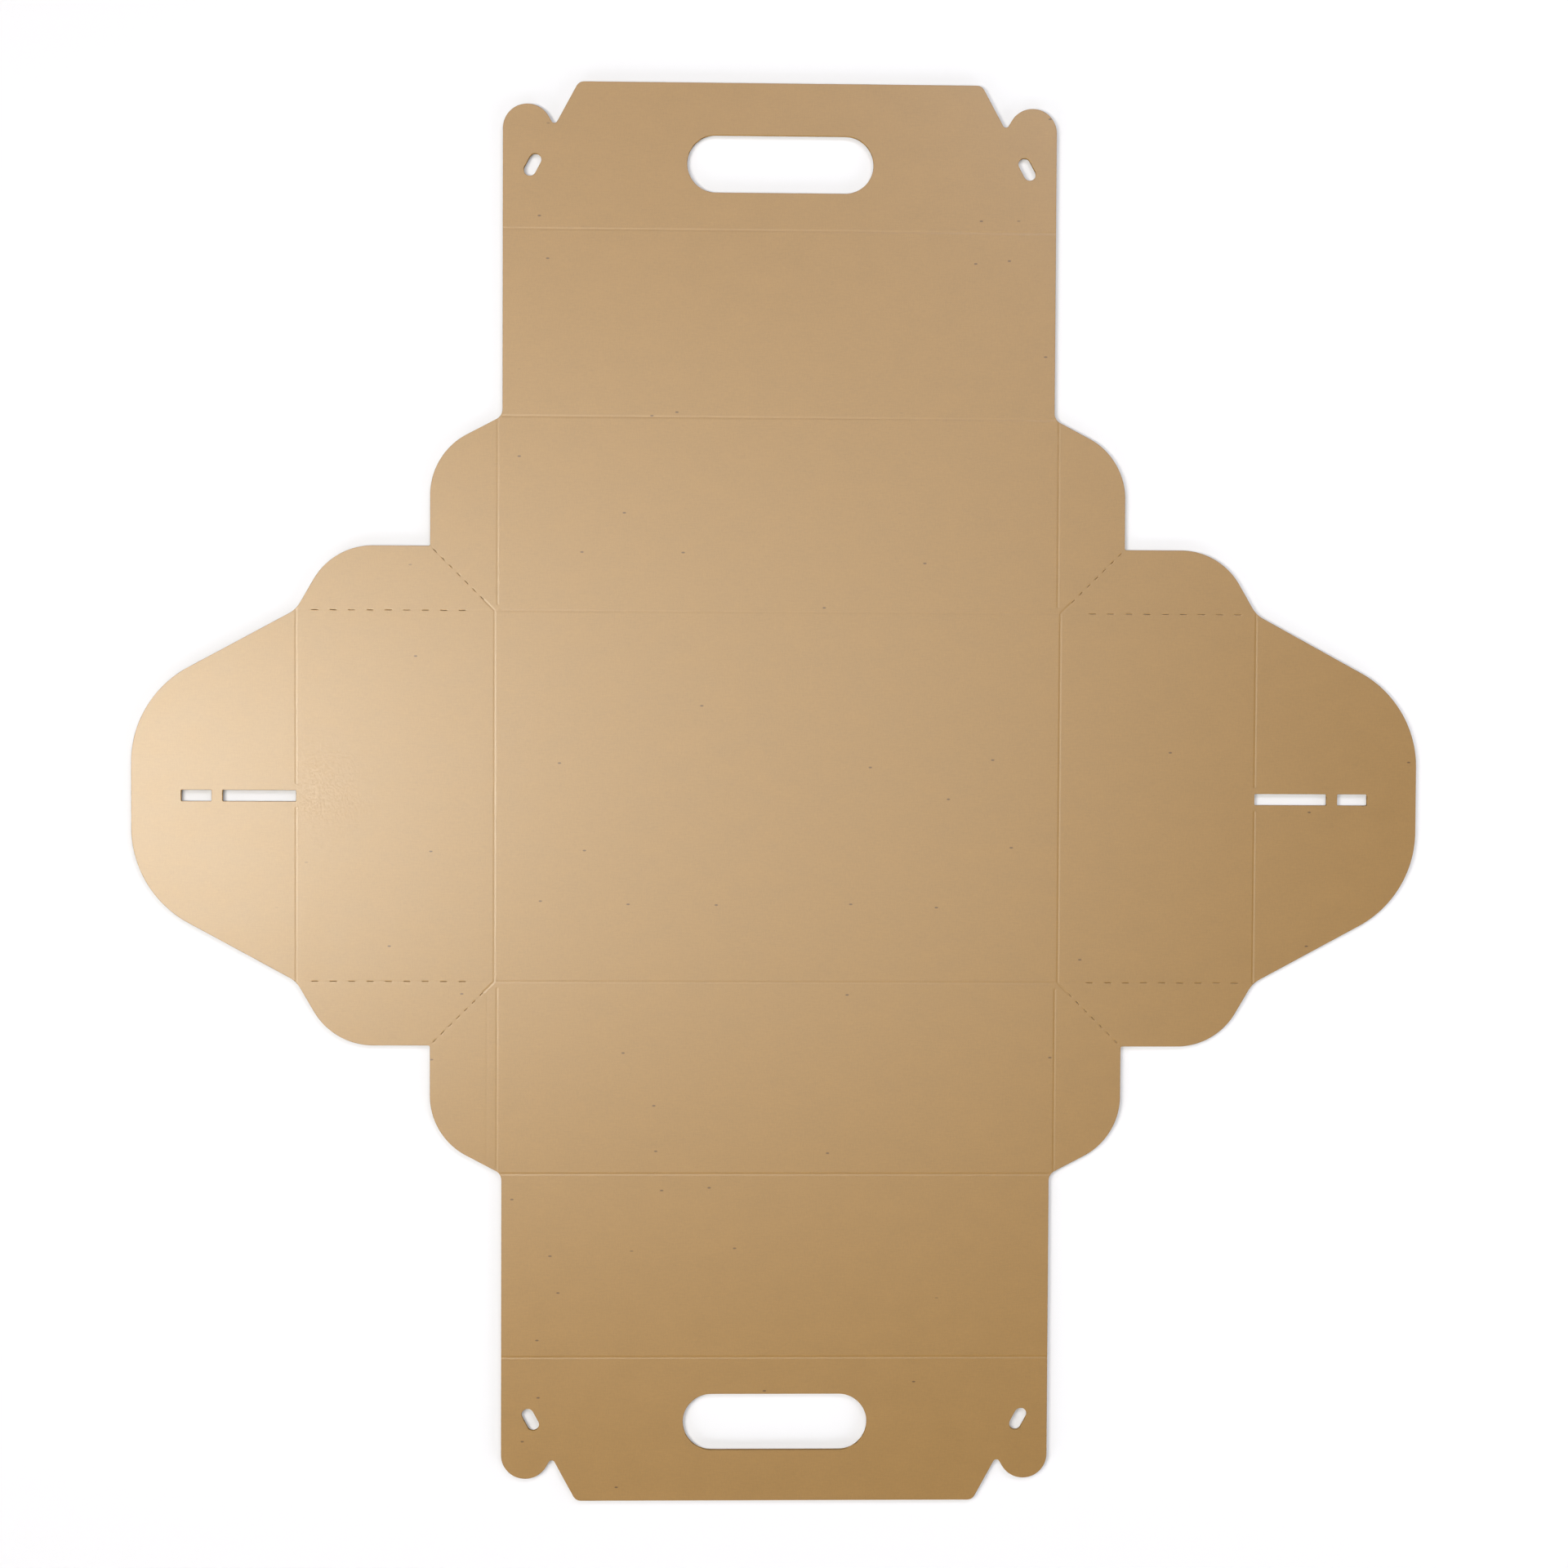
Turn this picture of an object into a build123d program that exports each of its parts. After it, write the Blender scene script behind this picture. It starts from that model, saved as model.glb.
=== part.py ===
from build123d import *

import os
from math import cos, floor, hypot, radians, sin, tan

# Flat die-cut blank of a small carry box, one sheet of kraft micro-flute board.
#
# +Z is up and the origin is at the middle of the base panel, on the underside.
# X runs from the base over the two side walls to their lock flaps. Y runs from
# the base over the front and back walls and the roof panels to the two handles.
# Lengths are in millimetres and angles in degrees. The blank is the same in all
# four quarters, so its outline is drawn once, in the +X +Y quarter.

# --- Board ---
board_thickness = 1.6

# --- Panels, measured from fold to fold ---
base_length = 241.0
base_width = 158.0
wall_height = 82.4
handle_height = 62.0
lock_flap_length = 69.6
# A lock flap closes over the roof, so its wall is one board taller.
side_wall_height = wall_height + board_thickness
# The two roof panels meet over the middle of the base.
roof_depth = base_width / 2

# --- Corner webs, between a side wall and the front or back wall ---
web_size = 27.3  # reach past the base corner, the same in X and in Y
web_flare = 30.0  # lean of the side wall's edge, from Y
web_slant = 27.7  # fall of the front wall's edge, from X
web_corner_radius = 29.0
web_notch_radius = 0.8
web_fold_setback = 1.2  # the web folds behind the front wall, inside the base corner
diagonal_lean = 45.0  # a web folds in half along this line from the base corner

# --- Lock flaps ---
flap_slant = 28.5  # taper of the flap's sides, from X
flap_corner_radius = 46.0
flap_root_radius = 12.0

# --- Roof and handle panels ---
# A folded side wall and web, two boards thick, stand beside the roof.
roof_side_setback = 2 * board_thickness
roof_root_radius = 4.6
handle_corner_radius = 3.6

# --- Ears at the ends of a handle, and the V notches beside them ---
ear_width = 21.7
ear_radius = 10.3
ear_lean = 30.0  # inner side of the ear, from Y
notch_depth = 19.0
notch_lean = 28.5  # handle side of the notch, from Y
notch_root_radius = 1.4

# --- Holes ---
hand_hole_length = 79.0
hand_hole_height = 24.2
hand_hole_offset = 28.0  # middle of the hole, above the handle's fold
ear_hole_length = 10.0
ear_hole_width = 5.2
ear_hole_inset = 12.5  # from the ear's outer edge
ear_hole_offset = 26.9  # above the handle's fold

# --- Lock slots: both handles stand up through them side by side ---
slot_clearance = 1.6
slot_width = 2 * board_thickness + slot_clearance
ear_play = 6.2
long_slot_length = roof_side_setback + ear_width + ear_play
slot_bridge = 4.6
short_slot_length = 12.9
slot_corner_radius = 0.5

# --- Folds: round-bottomed grooves pressed into the top face ---
fold_width = 1.6
fold_depth = 0.2
web_press_depth = 0.12  # lighter where a web folds against its side wall, on a row of cuts
fold_gap = 3.0  # a fold stops this short of a slot, and of the fold it would cross
diagonal_fold_length = 6.5

# --- Perforations: cuts right through the board along the folds of the webs ---
cut_width = 0.5
diagonal_cut = 2.0
diagonal_cut_pitch = 4.7
diagonal_cut_start = 7.5  # first cut's middle, from the base corner
web_cut = 3.0
web_cut_pitch = 7.8
web_cut_start = 13.7  # first cut's middle, from the base corner

# --- Fold lines and edges, as distances from the middle of the blank ---
side_fold_x = base_length / 2
flap_fold_x = side_fold_x + side_wall_height
flap_end_x = flap_fold_x + lock_flap_length
wall_fold_y = base_width / 2
roof_fold_y = wall_fold_y + wall_height
handle_fold_y = roof_fold_y + roof_depth
handle_top_y = handle_fold_y + handle_height
web_fold_x = side_fold_x - web_fold_setback
roof_side_x = side_fold_x - roof_side_setback
web_x = side_fold_x + web_size
web_y = wall_fold_y + web_size
notch_x = roof_side_x - ear_width
notch_y = handle_top_y - notch_depth


def quarter_corners():
    """Sharp corners of the +X +Y quarter, anticlockwise, each with its radius."""
    return [
        ((flap_end_x, wall_fold_y - lock_flap_length * tan(radians(flap_slant))), flap_corner_radius),
        ((flap_fold_x, wall_fold_y), flap_root_radius),
        ((flap_fold_x - web_size * tan(radians(web_flare)), web_y), web_corner_radius),
        ((web_x, web_y), web_notch_radius),
        ((web_x, roof_fold_y - (web_x - roof_side_x) * tan(radians(web_slant))), web_corner_radius),
        ((roof_side_x, roof_fold_y), roof_root_radius),
        ((roof_side_x, notch_y + ear_width / tan(radians(ear_lean))), ear_radius),
        ((notch_x, notch_y), notch_root_radius),
        ((notch_x - notch_depth * tan(radians(notch_lean)), handle_top_y), handle_corner_radius),
    ]


def four_ways(x, y):
    """The point and its mirror images in the other quarters, with their signs."""
    return [(right * x, up * y, right * up) for right in (1, -1) for up in (1, -1)]


def cut_places(start, pitch, end):
    """Middles of evenly spaced cuts along a fold, from start and not past end."""
    return [start + pitch * step for step in range(floor((end - start) / pitch) + 1)]


def fold_lines():
    """Start, end and depth of every fold line, each drawn once."""
    diagonal = diagonal_fold_length * cos(radians(diagonal_lean))
    lines = []
    for side in (1, -1):
        # The folds right across the sheet, on this side of the base
        lines.append(((side * side_fold_x, -wall_fold_y), (side * side_fold_x, wall_fold_y), fold_depth))
        lines.append(((-side_fold_x, side * wall_fold_y), (side_fold_x, side * wall_fold_y), fold_depth))
        lines.append(((-roof_side_x, side * roof_fold_y), (roof_side_x, side * roof_fold_y), fold_depth))
        lines.append(((-roof_side_x, side * handle_fold_y), (roof_side_x, side * handle_fold_y), fold_depth))
    for x, y, _ in four_ways(1, 1):
        # The folds of one quarter: lock flap, side wall to web, front wall to web, and diagonal
        slot_side = (x * flap_fold_x, y * (slot_width / 2 + fold_gap))
        flap_root = (x * flap_fold_x, y * wall_fold_y)
        base_corner = (x * side_fold_x, y * wall_fold_y)
        web_foot = (x * web_fold_x, y * (wall_fold_y + fold_gap))
        web_head = (x * web_fold_x, y * roof_fold_y)
        diagonal_end = (base_corner[0] + x * diagonal, base_corner[1] + y * diagonal)
        lines.append((slot_side, flap_root, fold_depth))
        lines.append((base_corner, flap_root, web_press_depth))
        lines.append((web_foot, web_head, fold_depth))
        lines.append((base_corner, diagonal_end, fold_depth))
    return lines


def fold_section(start, end):
    """Plane across a fold line at its start, local X up, at the top face."""
    direction = (end[0] - start[0], end[1] - start[1], 0)
    return Plane(origin=(start[0], start[1], board_thickness), x_dir=(0, 0, 1), z_dir=direction)


def groove_radius(depth):
    """Radius of the round bottom that is depth deep and fold_width wide at the face."""
    return (fold_width**2 / 4 + depth**2) / (2 * depth)


with BuildPart() as box_blank:
    # The sheet, with its outline mirrored from one quarter
    with BuildSketch() as sheet:
        with BuildLine():
            corners = quarter_corners()
            start, end = (flap_end_x, 0), (0, handle_top_y)
            points = [start] + [point for point, _ in corners] + [end]
            FilletPolyline(*points, radius=[radius for _, radius in corners])
            Polyline(end, (0, 0), start)
        make_face()
        mirror(about=Plane.YZ)
        mirror(about=Plane.XZ)

        # Hand holes
        hand_hole_y = handle_fold_y + hand_hole_offset
        with Locations((0, hand_hole_y), (0, -hand_hole_y)):
            SlotOverall(hand_hole_length, hand_hole_height, mode=Mode.SUBTRACT)

        # Lock slots, the long one starting at the fold of its flap
        long_slot_x = flap_fold_x + long_slot_length / 2
        with Locations((long_slot_x, 0), (-long_slot_x, 0)):
            RectangleRounded(long_slot_length, slot_width, slot_corner_radius, mode=Mode.SUBTRACT)
        short_slot_x = flap_fold_x + long_slot_length + slot_bridge + short_slot_length / 2
        with Locations((short_slot_x, 0), (-short_slot_x, 0)):
            RectangleRounded(short_slot_length, slot_width, slot_corner_radius, mode=Mode.SUBTRACT)

        # Ear holes, leaning with the notch beside them
        for x, y, turn in four_ways(roof_side_x - ear_hole_inset, handle_fold_y + ear_hole_offset):
            with Locations(Location((x, y), 90 + turn * notch_lean)):
                SlotOverall(ear_hole_length, ear_hole_width, mode=Mode.SUBTRACT)

        # Cuts on the diagonal folds, out to the notch in the web's edge
        diagonal_end = hypot(web_size, web_size) - diagonal_cut
        for distance in cut_places(diagonal_cut_start, diagonal_cut_pitch, diagonal_end):
            step = distance * sin(radians(diagonal_lean))
            for x, y, turn in four_ways(side_fold_x + step, wall_fold_y + step):
                with Locations(Location((x, y), turn * diagonal_lean)):
                    Rectangle(diagonal_cut, cut_width, mode=Mode.SUBTRACT)

        # Cuts on the folds between the side walls and their webs
        web_fold_end = side_wall_height - web_cut
        for distance in cut_places(web_cut_start, web_cut_pitch, web_fold_end):
            for x, y, _ in four_ways(side_fold_x + distance, wall_fold_y):
                with Locations((x, y)):
                    Rectangle(web_cut, cut_width, mode=Mode.SUBTRACT)
    extrude(amount=board_thickness)

    # Folds, pressed into the top face
    for start, end, depth in fold_lines():
        with BuildSketch(fold_section(start, end)):
            with Locations((groove_radius(depth) - depth, 0)):
                Circle(groove_radius(depth))
        extrude(amount=hypot(end[0] - start[0], end[1] - start[1]), mode=Mode.SUBTRACT)

os.makedirs("parts", exist_ok=True)
box_blank.part.label = "box_blank"
export_step(box_blank.part, "parts/box_blank.step")
print(f"box_blank: volume {box_blank.part.volume:.0f} mm3, size {box_blank.part.bounding_box().size}")
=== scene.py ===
"""Looks of the flat die-cut blank of a small carry box, in kraft micro-flute board.

The blank is one sheet that lies face up on a pale floor: a base panel, two side walls with lock
flaps, two end walls with roof and handle panels, and four corner webs. Its top face is a height
over the plan, pressed down along the folds. Its cut edges are a knife profile carried round every
loop that the die cuts. Blender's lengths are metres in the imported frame, and the blank's own sizes
are millimetres.
"""

import logging
import math
from dataclasses import dataclass, field, replace
from enum import Enum
from typing import Any, Callable

import bpy
import numpy as np
from mathutils import Matrix, Vector
from mathutils.geometry import delaunay_2d_cdt


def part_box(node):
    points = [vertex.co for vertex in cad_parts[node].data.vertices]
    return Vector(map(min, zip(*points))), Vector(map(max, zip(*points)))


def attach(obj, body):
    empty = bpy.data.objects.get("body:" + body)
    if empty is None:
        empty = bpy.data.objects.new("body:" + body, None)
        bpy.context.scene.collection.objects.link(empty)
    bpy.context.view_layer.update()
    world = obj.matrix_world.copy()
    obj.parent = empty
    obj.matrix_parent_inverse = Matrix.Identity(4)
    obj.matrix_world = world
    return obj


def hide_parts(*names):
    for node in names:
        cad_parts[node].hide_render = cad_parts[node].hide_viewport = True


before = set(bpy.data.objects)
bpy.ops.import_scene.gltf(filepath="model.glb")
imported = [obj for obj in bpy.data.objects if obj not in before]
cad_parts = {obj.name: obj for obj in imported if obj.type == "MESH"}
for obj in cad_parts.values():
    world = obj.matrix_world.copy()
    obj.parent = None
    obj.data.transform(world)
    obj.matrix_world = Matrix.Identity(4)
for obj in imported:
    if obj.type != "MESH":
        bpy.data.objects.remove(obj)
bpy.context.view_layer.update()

MM = 0.001
BODY = "root"
NODE = "box_blank"
WARM = "#fffbed"
# How many points are compared at once with every fold, or with every side of every loop
FOLD_BATCH = 4000
EDGE_BATCH = 500

log = logging.getLogger("carry_box_blank")


# --- Plane geometry ---


def unit(vectors: np.ndarray) -> np.ndarray:
    """Rows of an array, each divided by its own length."""
    return vectors / np.linalg.norm(vectors, axis=-1, keepdims=True)


def shares(counts: np.ndarray) -> tuple[np.ndarray, np.ndarray]:
    """Numbers the points of several runs that are laid end to end.

    Args:
        counts: how many points each run has.

    Returns:
        For every point, the run that it is in, and its share of the way along that run, from 0 up to 1.
    """
    run = np.repeat(np.arange(len(counts)), counts)
    first = np.cumsum(counts) - counts
    return run, (np.arange(counts.sum()) - first[run]) / counts[run]


def rounded_loop(corners: np.ndarray, radii: np.ndarray, arc_pace: float, side_pace: float) -> np.ndarray:
    """Closed polygon with round corners, as points.

    With half the angle between a corner's sides called h, an arc of radius r touches them at r / tan(h)
    from the corner, and its centre lies at r / sin(h) from it, along the line that halves the angle.

    Args:
        corners: (n, 2) sharp corners, in order.
        radii: (n,) radius of each corner.
        arc_pace: longest step on an arc. A small arc has steps of about 9 degrees, or of 0.08 mm.
        side_pace: longest step on a straight side.

    Returns:
        (m, 2) points, in the order of the corners.
    """
    back = unit(np.roll(corners, 1, axis=0) - corners)
    ahead = unit(np.roll(corners, -1, axis=0) - corners)
    half = 0.5 * np.arccos(np.clip((back * ahead).sum(axis=1), -1.0, 1.0))
    reach = (radii / np.tan(half))[:, None]
    start, end = corners + back * reach, corners + ahead * reach
    centre = corners + unit(back + ahead) * (radii / np.sin(half))[:, None]

    first = np.arctan2(*(start - centre).T[::-1])
    last = np.arctan2(*(end - centre).T[::-1])
    turn = (last - first + math.pi) % (2 * math.pi) - math.pi
    step = np.clip(0.16 * radii, 0.08, arc_pace)
    arc, along_arc = shares(np.ceil(np.abs(turn) * radii / step).astype(int))
    angle = first[arc] + turn[arc] * along_arc
    on_arcs = centre[arc] + radii[arc, None] * np.stack([np.cos(angle), np.sin(angle)], axis=1)

    across = np.roll(start, -1, axis=0) - end
    length = np.linalg.norm(across, axis=1)
    side, along_side = shares(np.ceil(np.where(length > 1e-6, length, 0.0) / side_pace).astype(int))
    on_sides = end[side] + across[side] * along_side[:, None]

    order = np.argsort(np.concatenate([arc + 0.5 * along_arc, side + 0.5 + 0.5 * along_side]), kind="stable")
    return np.concatenate([on_arcs, on_sides])[order]


def segment_distance(points: np.ndarray, starts: np.ndarray, ends: np.ndarray) -> np.ndarray:
    """Distance of every point from every segment.

    Args:
        points: (n, 2) points.
        starts: (m, 2) first ends of the segments.
        ends: (m, 2) last ends of the segments.

    Returns:
        (n, m) distances.
    """
    along = ends - starts
    offset = points[:, None] - starts
    share = np.clip((offset * along).sum(axis=2) / (along**2).sum(axis=1), 0.0, 1.0)
    return np.linalg.norm(offset - share[..., None] * along, axis=2)


def spread_out(points: np.ndarray, pace: float) -> np.ndarray:
    """Keeps one point in each square cell, over four grids of cells that are half a cell apart."""
    for shift in ((0.0, 0.0), (0.5, 0.0), (0.0, 0.5), (0.5, 0.5)):
        cells = np.floor(points / pace + shift)
        points = points[np.sort(np.unique(cells, axis=0, return_index=True)[1])]
    return points


def clear_inside(points: np.ndarray, loops: list[np.ndarray], gap: float) -> np.ndarray:
    """Tells which points lie on the board, and at least a gap from its edges.

    A point is on the board where a ray from it along +X crosses the loops an odd number of times. The
    loops mirror about both axes, so each point is tested by its image in the +X +Y quarter.

    Args:
        points: (n, 2) points.
        loops: closed loops, outline and holes alike.
        gap: least distance from any loop.

    Returns:
        (n,) true where a point may be used.
    """
    starts = np.concatenate(loops)
    ends = np.concatenate([np.roll(loop, -1, axis=0) for loop in loops])
    in_quarter = (np.maximum(starts, ends) >= 0.0).all(axis=1)
    starts, ends = starts[in_quarter], ends[in_quarter]
    rise = np.where(ends[:, 1] == starts[:, 1], 1.0, ends[:, 1] - starts[:, 1])
    keep = np.zeros(len(points), bool)
    for rows in np.array_split(np.arange(len(points)), max(1, len(points) // EDGE_BATCH)):
        image = np.abs(points[rows])
        x, y = image[:, :1], image[:, 1:]
        spans = (starts[:, 1] > y) != (ends[:, 1] > y)
        crossing = starts[:, 0] + (y - starts[:, 1]) * (ends[:, 0] - starts[:, 0]) / rise
        odd = (spans & (x < crossing)).sum(axis=1) % 2 == 1
        keep[rows] = odd & (segment_distance(image, starts, ends).min(axis=1) > gap)
    return keep


def turned_box(middle: np.ndarray, length: float, width: float, degrees: float) -> np.ndarray:
    """Four corners of a rectangle about a middle point, clockwise, its length turned from X."""
    angle = math.radians(degrees)
    long_side = 0.5 * length * np.array([math.cos(angle), math.sin(angle)])
    short_side = 0.5 * width * np.array([-math.sin(angle), math.cos(angle)])
    return middle + np.array([-long_side - short_side, -long_side + short_side,
                              long_side + short_side, long_side - short_side])


# --- The sheet ---

# Where rails run beside a press, as shares of its half width: on the top face, and on the underside
TOP_RAILS = np.array([-1.25, -1.0, -0.8, -0.6, -0.4, -0.2, 0.0, 0.2, 0.4, 0.6, 0.8, 1.0, 1.25])
UNDER_RAILS = np.array([-1.1, -0.7, -0.35, 0.0, 0.35, 0.7, 1.1])


class EdgeCut(Enum):
    """How a knife leaves the board's edge, as rows from the top face down to the underside.

    A row is (offset out of the board in mm, share of the board's height there).
    """

    SHEARED = ((-0.15, 1.0), (-0.05, 0.985), (0.0, 0.93), (0.0, 0.82), (-0.09, 0.74),
               (-0.11, 0.5), (-0.09, 0.26), (0.0, 0.18), (0.0, 0.07), (-0.05, 0.015), (-0.15, 0.0))
    PIERCED = ((0.0, 1.0), (0.08, 0.985), (0.16, 0.95), (0.2, 0.88), (0.2, 0.1), (0.16, 0.04), (0.0, 0.0))


@dataclass(frozen=True)
class Press:
    """A line pressed into the top face, from start to end in mm, by a rule of its depth and half width."""

    start: tuple[float, float]
    end: tuple[float, float]
    depth: float
    half_width: float


@dataclass
class CarryBoxBlank:
    """The blank: one sheet, cut and pressed alike in all four quarters. Sizes are in mm and degrees."""

    length: float
    width: float
    thickness: float

    base_length: float = 241.0
    base_width: float = 158.0
    wall_height: float = 82.4

    web_size: float = 27.3
    web_flare: float = 30.0
    web_slant: float = 27.7
    web_corner_radius: float = 29.0
    web_notch_radius: float = 0.8
    web_fold_setback: float = 1.2
    flap_slant: float = 28.5
    flap_corner_radius: float = 46.0
    flap_root_radius: float = 12.0
    roof_root_radius: float = 4.6
    handle_corner_radius: float = 3.6

    ear_width: float = 21.7
    ear_radius: float = 10.3
    ear_lean: float = 30.0
    notch_depth: float = 19.0
    notch_lean: float = 28.5
    notch_root_radius: float = 1.4

    hand_hole_length: float = 79.0
    hand_hole_height: float = 24.2
    hand_hole_offset: float = 28.0
    ear_hole_length: float = 10.0
    ear_hole_width: float = 5.2
    ear_hole_inset: float = 12.5
    ear_hole_offset: float = 26.9
    slot_clearance: float = 1.6
    ear_play: float = 6.2
    slot_bridge: float = 4.6
    short_slot_length: float = 12.9
    slot_corner_radius: float = 0.5

    fold_gap: float = 3.0
    diagonal_fold_length: float = 6.5
    fold_depth: float = 0.07
    wall_fold_depth: float = 0.03
    roof_fold_depth: float = 0.055
    web_press_depth: float = 0.01
    fold_half_width: float = 0.8
    matrix_mark_offset: float = 4.2
    matrix_mark_depth: float = 0.02

    cut_width: float = 0.5
    cut_corner_radius: float = 0.12
    cut_lip_width: float = 0.5
    cut_lip_depth: float = 0.03
    diagonal_cut: float = 2.0
    diagonal_cut_pitch: float = 4.7
    diagonal_cut_start: float = 7.5
    web_cut: float = 3.0
    web_cut_pitch: float = 7.8
    web_cut_start: float = 13.7

    bead_height: float = 0.07
    bead_half_width: float = 1.5

    arc_pace: float = 1.1
    side_pace: float = 3.0
    crossing_pace: float = 0.25
    rail_pace: float = 2.6
    rail_end: float = 1.4
    rail_end_pace: float = 0.35
    grid_pace: float = 8.0
    least_gap: float = 0.32
    slope_nudge: float = 0.02

    folds: list[Press] = field(init=False)
    faint: list[Press] = field(init=False)
    beads: list[Press] = field(init=False)
    outline: np.ndarray = field(init=False)
    openings: list[np.ndarray] = field(init=False)
    slits: list[np.ndarray] = field(init=False)

    def __post_init__(self) -> None:
        """Works out the fold lines and edges, and from them the presses and the die's loops."""
        self.side_fold_x = self.base_length / 2
        self.flap_fold_x = self.side_fold_x + self.wall_height + self.thickness
        self.flap_end_x = self.length / 2
        self.wall_fold_y = self.base_width / 2
        self.roof_fold_y = self.wall_fold_y + self.wall_height
        self.handle_fold_y = self.roof_fold_y + self.base_width / 2
        self.handle_top_y = self.width / 2
        self.web_fold_x = self.side_fold_x - self.web_fold_setback
        self.roof_side_x = self.side_fold_x - 2 * self.thickness
        self.slot_width = 2 * self.thickness + self.slot_clearance
        self.folds = self.fold_presses()
        self.faint = self.faint_presses()
        self.beads = [
            replace(fold, depth=self.bead_height, half_width=self.bead_half_width) for fold in self.folds
        ]
        self.outline = self.outline_loop()
        self.openings = self.opening_loops()
        self.slits = self.slit_loops()

    # The die's loops. The outline runs anticlockwise and holes clockwise, so the board is on their left.

    def outline_loop(self) -> np.ndarray:
        """Outline of the sheet: one quarter's corners, mirrored into the other three."""
        flap_length = self.flap_end_x - self.flap_fold_x
        web_x, web_y = self.side_fold_x + self.web_size, self.wall_fold_y + self.web_size
        notch_x, notch_y = self.roof_side_x - self.ear_width, self.handle_top_y - self.notch_depth
        flare, slant = math.tan(math.radians(self.web_flare)), math.tan(math.radians(self.web_slant))
        flap_fall = flap_length * math.tan(math.radians(self.flap_slant))
        ear_rise = self.ear_width / math.tan(math.radians(self.ear_lean))
        notch_run = self.notch_depth * math.tan(math.radians(self.notch_lean))
        quarter = np.array([
            (self.flap_end_x, self.wall_fold_y - flap_fall, self.flap_corner_radius),
            (self.flap_fold_x, self.wall_fold_y, self.flap_root_radius),
            (self.flap_fold_x - self.web_size * flare, web_y, self.web_corner_radius),
            (web_x, web_y, self.web_notch_radius),
            (web_x, self.roof_fold_y - (web_x - self.roof_side_x) * slant, self.web_corner_radius),
            (self.roof_side_x, self.roof_fold_y, self.roof_root_radius),
            (self.roof_side_x, notch_y + ear_rise, self.ear_radius),
            (notch_x, notch_y, self.notch_root_radius),
            (notch_x - notch_run, self.handle_top_y, self.handle_corner_radius),
        ])
        half = np.concatenate([quarter, quarter[::-1] * (-1, 1, 1)])
        corners = np.concatenate([half, half[::-1] * (1, -1, 1)])
        loop = rounded_loop(corners[:, :2], corners[:, 2], self.arc_pace, self.side_pace)
        return self.refined(loop)

    def opening_loops(self) -> list[np.ndarray]:
        """Hand holes, ear holes and lock slots."""
        boxes = []
        long_slot = 2 * self.thickness + self.ear_width + self.ear_play
        short_slot_x = self.flap_fold_x + long_slot + self.slot_bridge + self.short_slot_length / 2
        hand_hole_y = self.handle_fold_y + self.hand_hole_offset
        ear_hole = (self.roof_side_x - self.ear_hole_inset, self.handle_fold_y + self.ear_hole_offset)
        for side in (1, -1):
            # A box's middle, length, width, turn from X, and corner radius
            boxes += [
                (0, side * hand_hole_y, self.hand_hole_length, self.hand_hole_height, 0,
                 self.hand_hole_height / 2),
                (side * (self.flap_fold_x + long_slot / 2), 0, long_slot, self.slot_width, 0,
                 self.slot_corner_radius),
                (side * short_slot_x, 0, self.short_slot_length, self.slot_width, 0, self.slot_corner_radius),
            ]
            for up in (1, -1):
                lean = 90 + side * up * self.notch_lean
                boxes.append((side * ear_hole[0], up * ear_hole[1], self.ear_hole_length, self.ear_hole_width,
                              lean, self.ear_hole_width / 2))
        return [
            rounded_loop(turned_box(np.array([x, y]), long, wide, lean), np.full(4, radius),
                         self.arc_pace, self.side_pace)
            for x, y, long, wide, lean, radius in boxes
        ]

    def cut_lines(self) -> np.ndarray:
        """Both ends of every short cut that lets a web fold, as (n, 2, 2) points.

        In each quarter some lie on the web's diagonal, and the others between the side wall and the web.
        """
        end = math.hypot(self.web_size, self.web_size) - self.diagonal_cut
        along = np.arange(self.diagonal_cut_start, end, self.diagonal_cut_pitch)[:, None]
        half_cut = self.diagonal_cut / 2
        diagonal = np.stack([along - half_cut, along + half_cut], axis=1) * math.sqrt(0.5)
        end = self.flap_fold_x - self.side_fold_x - self.web_cut
        along = np.arange(self.web_cut_start, end, self.web_cut_pitch)[:, None]
        beside = np.stack([along - self.web_cut / 2, along + self.web_cut / 2], axis=1) * (1.0, 0.0)
        corner = np.array([self.side_fold_x, self.wall_fold_y])
        quarter = corner + np.concatenate([diagonal * (1.0, 1.0), beside])
        return np.concatenate([quarter * signs for signs in ((1, 1), (1, -1), (-1, 1), (-1, -1))])

    def slit_loops(self) -> list[np.ndarray]:
        """The short cuts' own loops."""
        loops = []
        for start, end in self.cut_lines():
            along = end - start
            box = turned_box((start + end) / 2, math.hypot(*along), self.cut_width,
                             math.degrees(math.atan2(along[1], along[0])))
            loops.append(rounded_loop(box, np.full(4, self.cut_corner_radius), self.arc_pace, self.arc_pace))
        return loops

    # The folds

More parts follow.
